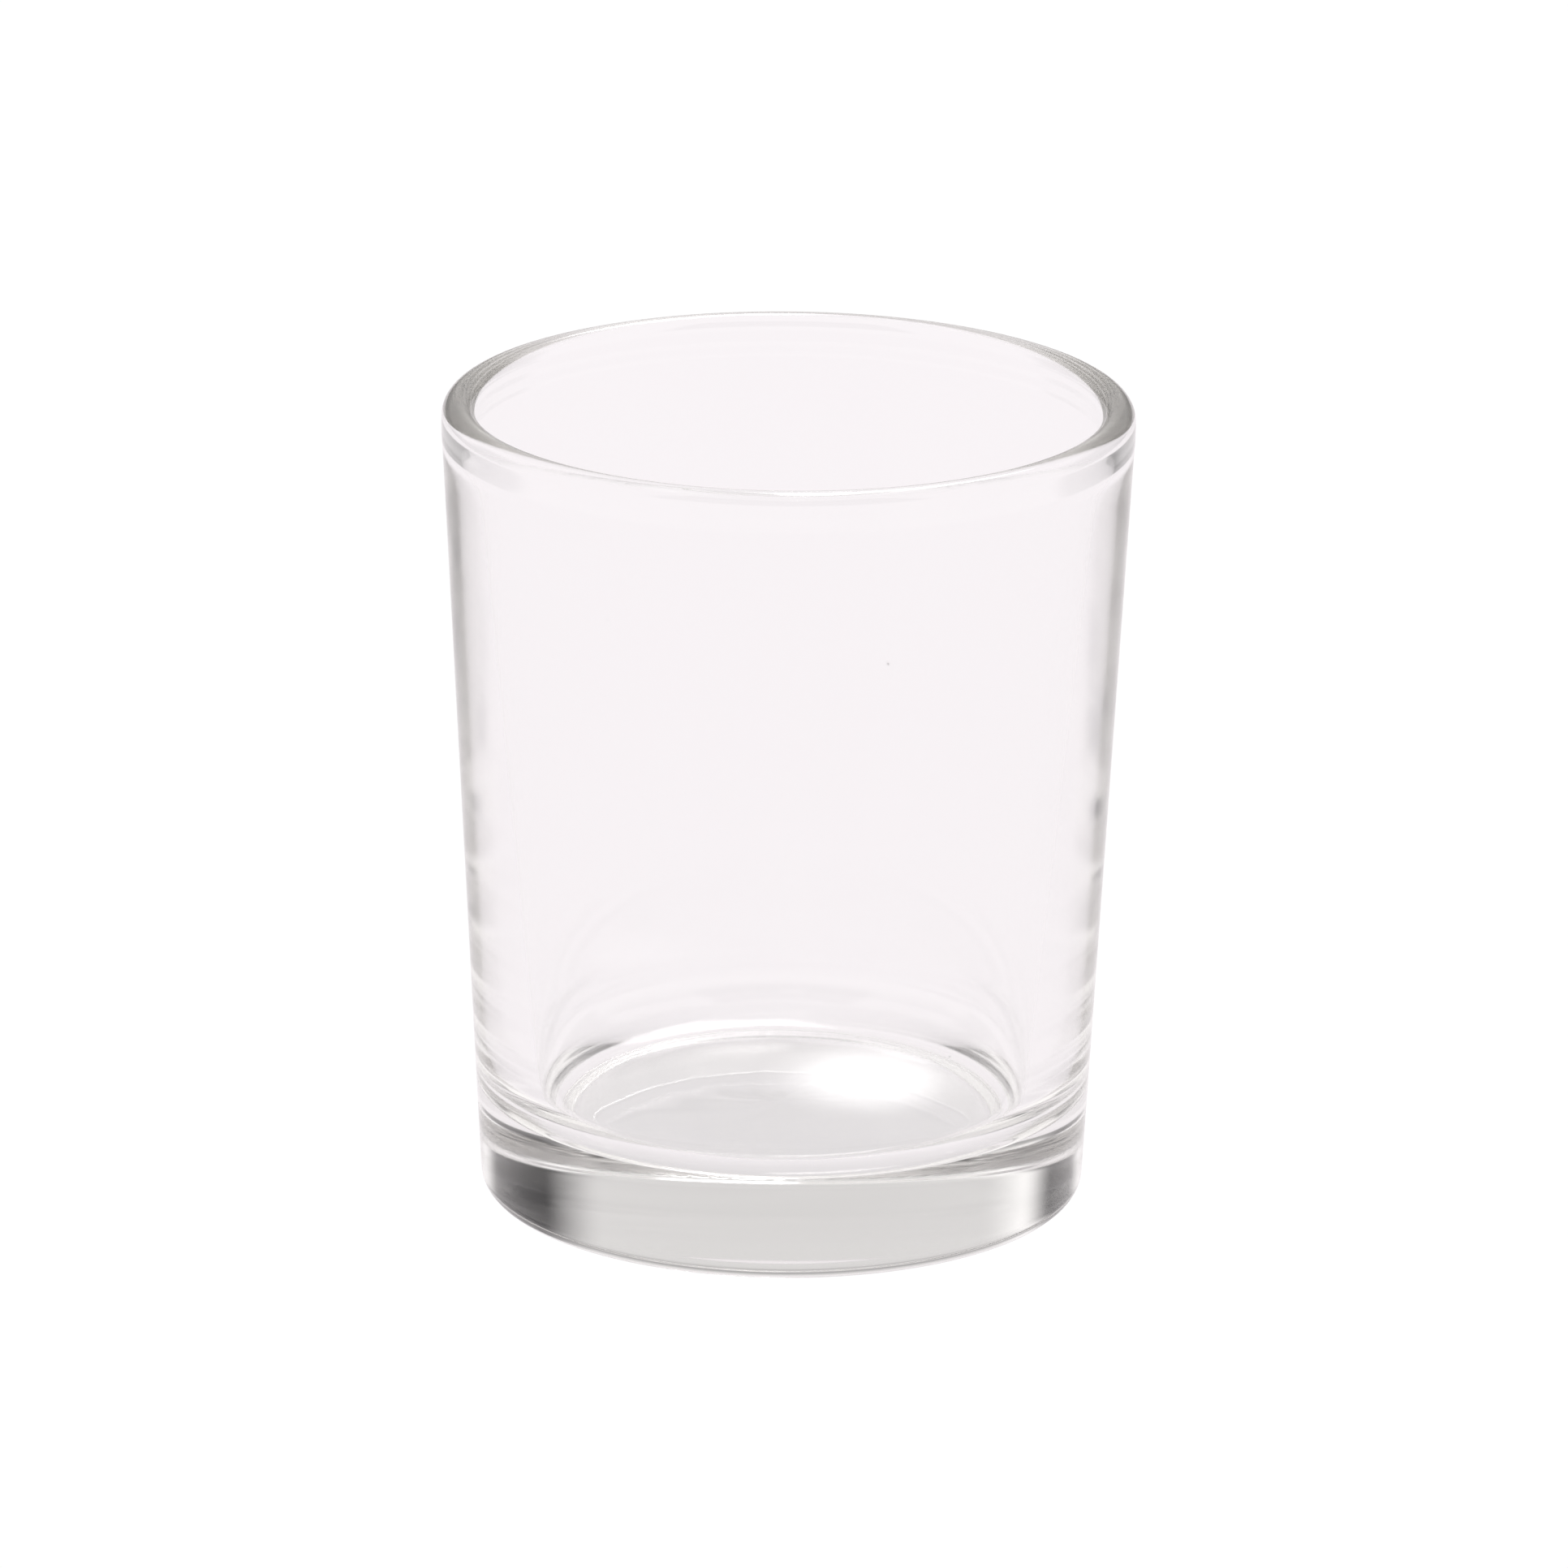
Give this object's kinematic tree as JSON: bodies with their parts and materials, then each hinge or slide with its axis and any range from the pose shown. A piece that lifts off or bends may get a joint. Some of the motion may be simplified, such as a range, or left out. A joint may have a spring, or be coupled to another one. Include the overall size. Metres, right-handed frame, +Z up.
{
  "type": "tealight holder",
  "caption": "Clear pressed-glass tealight holder: a tapered round tumbler with a thick solid base, a rounded lip and a flat floor for a tealight.",
  "frame": {"origin": "on the axis of the glass, at the plane that it stands on", "axes": "+Z up along the axis of the glass, out of its mouth; X and Y are equivalent, because the glass is round"},
  "size_m": [0.055, 0.055, 0.0657],
  "materials": {
    "clear_glass": "clear soda-lime glass, fire-polished, with fine mould texture on the ring it stands on"
  },
  "bodies": {
    "root": {"glass_cup": "clear_glass"}
  },
  "joints": []
}
